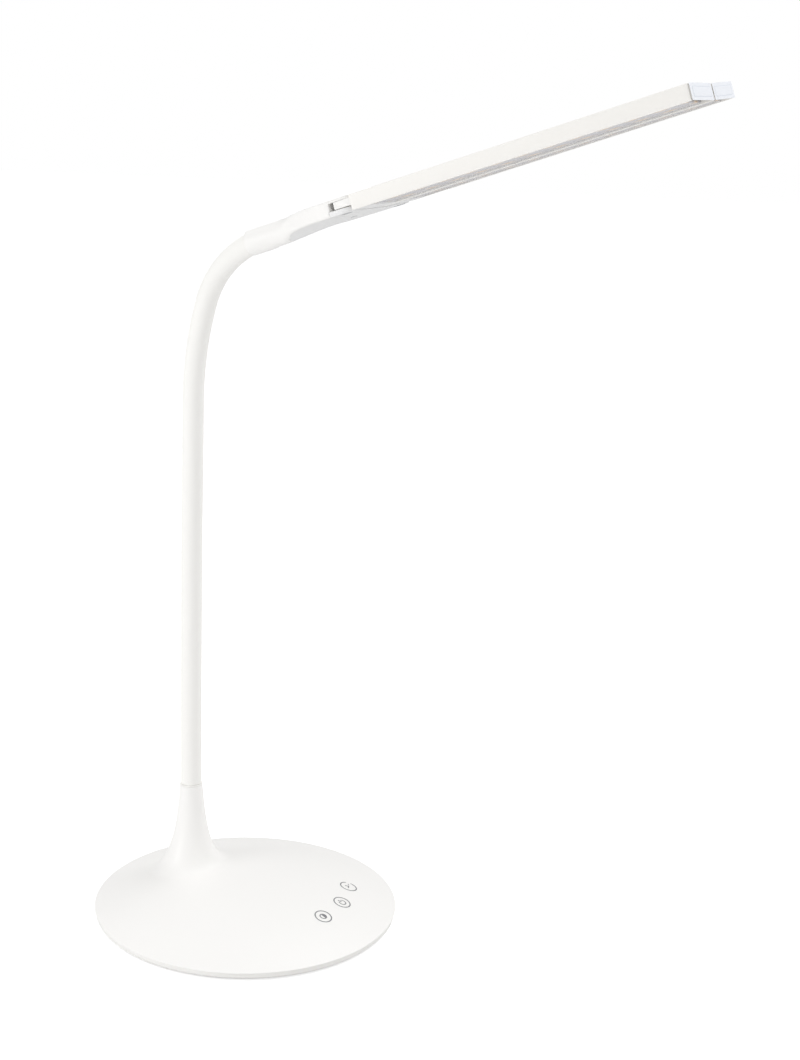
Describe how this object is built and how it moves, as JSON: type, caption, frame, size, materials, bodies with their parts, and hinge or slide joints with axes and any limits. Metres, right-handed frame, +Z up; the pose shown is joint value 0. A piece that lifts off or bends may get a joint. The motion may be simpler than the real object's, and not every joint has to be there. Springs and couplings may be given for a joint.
{
  "type": "folding led desk lamp",
  "caption": "Desk lamp with a round domed base, a bendable gooseneck neck, and a flat head whose light bars swing out sideways.",
  "frame": {"origin": "centre of the round base on the table, under the feet", "axes": "+Z up from the table; +X from the base's middle toward the head's tip; +Y toward the left light bar"},
  "size_m": [0.3223, 0.17, 0.4575],
  "materials": {
    "white_shell": "satin moulded plastic",
    "white_tray": "satin moulded plastic",
    "silicone_white": "smooth silicone",
    "rubber_grey": "matt",
    "steel": "plain",
    "brass": "turned",
    "board_green": "solder mask",
    "board_white": "white solder mask",
    "lead_pvc": "insulated lead",
    "print_grey": "printed mark",
    "cover_grey": "satin moulded plastic",
    "diffuser": "opal",
    "led_yellow": "phosphor",
    "cap_white": "gloss moulded plastic",
    "jack_black": "moulded plastic"
  },
  "bodies": {
    "base": {"base_shell": "white_shell", "base_tray": "white_tray", "ballast_disc": "steel", "ballast_screws": "steel", "base_feet": "rubber_grey", "tray_screws": "steel", "control_board": "board_green", "board_screws": "steel", "touch_springs": "steel", "mode_mark": "print_grey", "power_mark": "print_grey", "timer_mark": "print_grey", "dc_jack": "jack_black", "base_leads": "lead_pvc", "neck_collar": "white_tray"},
    "gooseneck_root": {"neck_plug_lower": "brass", "neck_washer": "steel", "neck_nut": "steel", "gooseneck_core_root": "steel", "gooseneck_sheath_root": "silicone_white", "gooseneck_leads_root": "lead_pvc"},
    "gooseneck_lower": {"gooseneck_core_lower": "steel", "gooseneck_sheath_lower": "silicone_white", "gooseneck_leads_lower": "lead_pvc"},
    "gooseneck_upper": {"gooseneck_core_upper": "steel", "gooseneck_sheath_upper": "silicone_white", "gooseneck_leads_upper": "lead_pvc"},
    "gooseneck_elbow": {"gooseneck_core_elbow": "steel", "gooseneck_sheath_elbow": "silicone_white", "gooseneck_leads_elbow": "lead_pvc"},
    "head": {"gooseneck_core_tip": "steel", "gooseneck_sheath_tip": "silicone_white", "gooseneck_leads_tip": "lead_pvc", "neck_plug_upper": "brass", "plug_screw": "steel", "head_shell": "white_shell", "head_cover": "cover_grey", "cover_screw": "steel", "hinge_pins": "steel", "hinge_washers": "brass", "head_leads": "lead_pvc"},
    "left_bar": {"left_bar_housing": "white_shell", "left_bar_knuckle": "white_shell", "left_bar_diffuser": "diffuser", "left_led_board": "board_white", "left_leds": "led_yellow", "left_end_cap": "cap_white", "left_bar_leads": "lead_pvc"},
    "right_bar": {"right_bar_housing": "white_shell", "right_bar_knuckle": "white_shell", "right_bar_diffuser": "diffuser", "right_led_board": "board_white", "right_leds": "led_yellow", "right_end_cap": "cap_white", "right_bar_leads": "lead_pvc"}
  },
  "joints": [
    {"name": "neck_turn", "type": "hinge", "parent": "base", "child": "gooseneck_root", "pos_m": [-0.0355, 0, 0.0694], "axis": [0, 0, 1], "range_deg": [-45, 45]},
    {"name": "gooseneck_bend_low", "type": "hinge", "parent": "gooseneck_root", "child": "gooseneck_lower", "pos_m": [-0.0355, 0, 0.1], "axis": [0, 1, 0], "range_deg": [-12, 12]},
    {"name": "gooseneck_bend_middle", "type": "hinge", "parent": "gooseneck_lower", "child": "gooseneck_upper", "pos_m": [-0.03472, 0, 0.2], "axis": [0, 1, 0], "range_deg": [-15, 15]},
    {"name": "gooseneck_bend_high", "type": "hinge", "parent": "gooseneck_upper", "child": "gooseneck_elbow", "pos_m": [-0.0333, 0, 0.2898], "axis": [0, 1, 0], "range_deg": [-20, 20]},
    {"name": "head_tilt", "type": "hinge", "parent": "gooseneck_elbow", "child": "head", "pos_m": [-0.00516, 0, 0.36972], "axis": [0, 1, 0], "range_deg": [-30, 30]},
    {"name": "left_bar_swing", "type": "hinge", "parent": "head", "child": "left_bar", "pos_m": [0.06964, 0.03022, 0.39912], "axis": [-0.3156, -0.0175, 0.9487], "range_deg": [0, 90]},
    {"name": "right_bar_swing", "type": "hinge", "parent": "head", "child": "right_bar", "pos_m": [0.06964, -0.03022, 0.39912], "axis": [0.3156, -0.0175, -0.9487], "range_deg": [0, 90]}
  ]
}
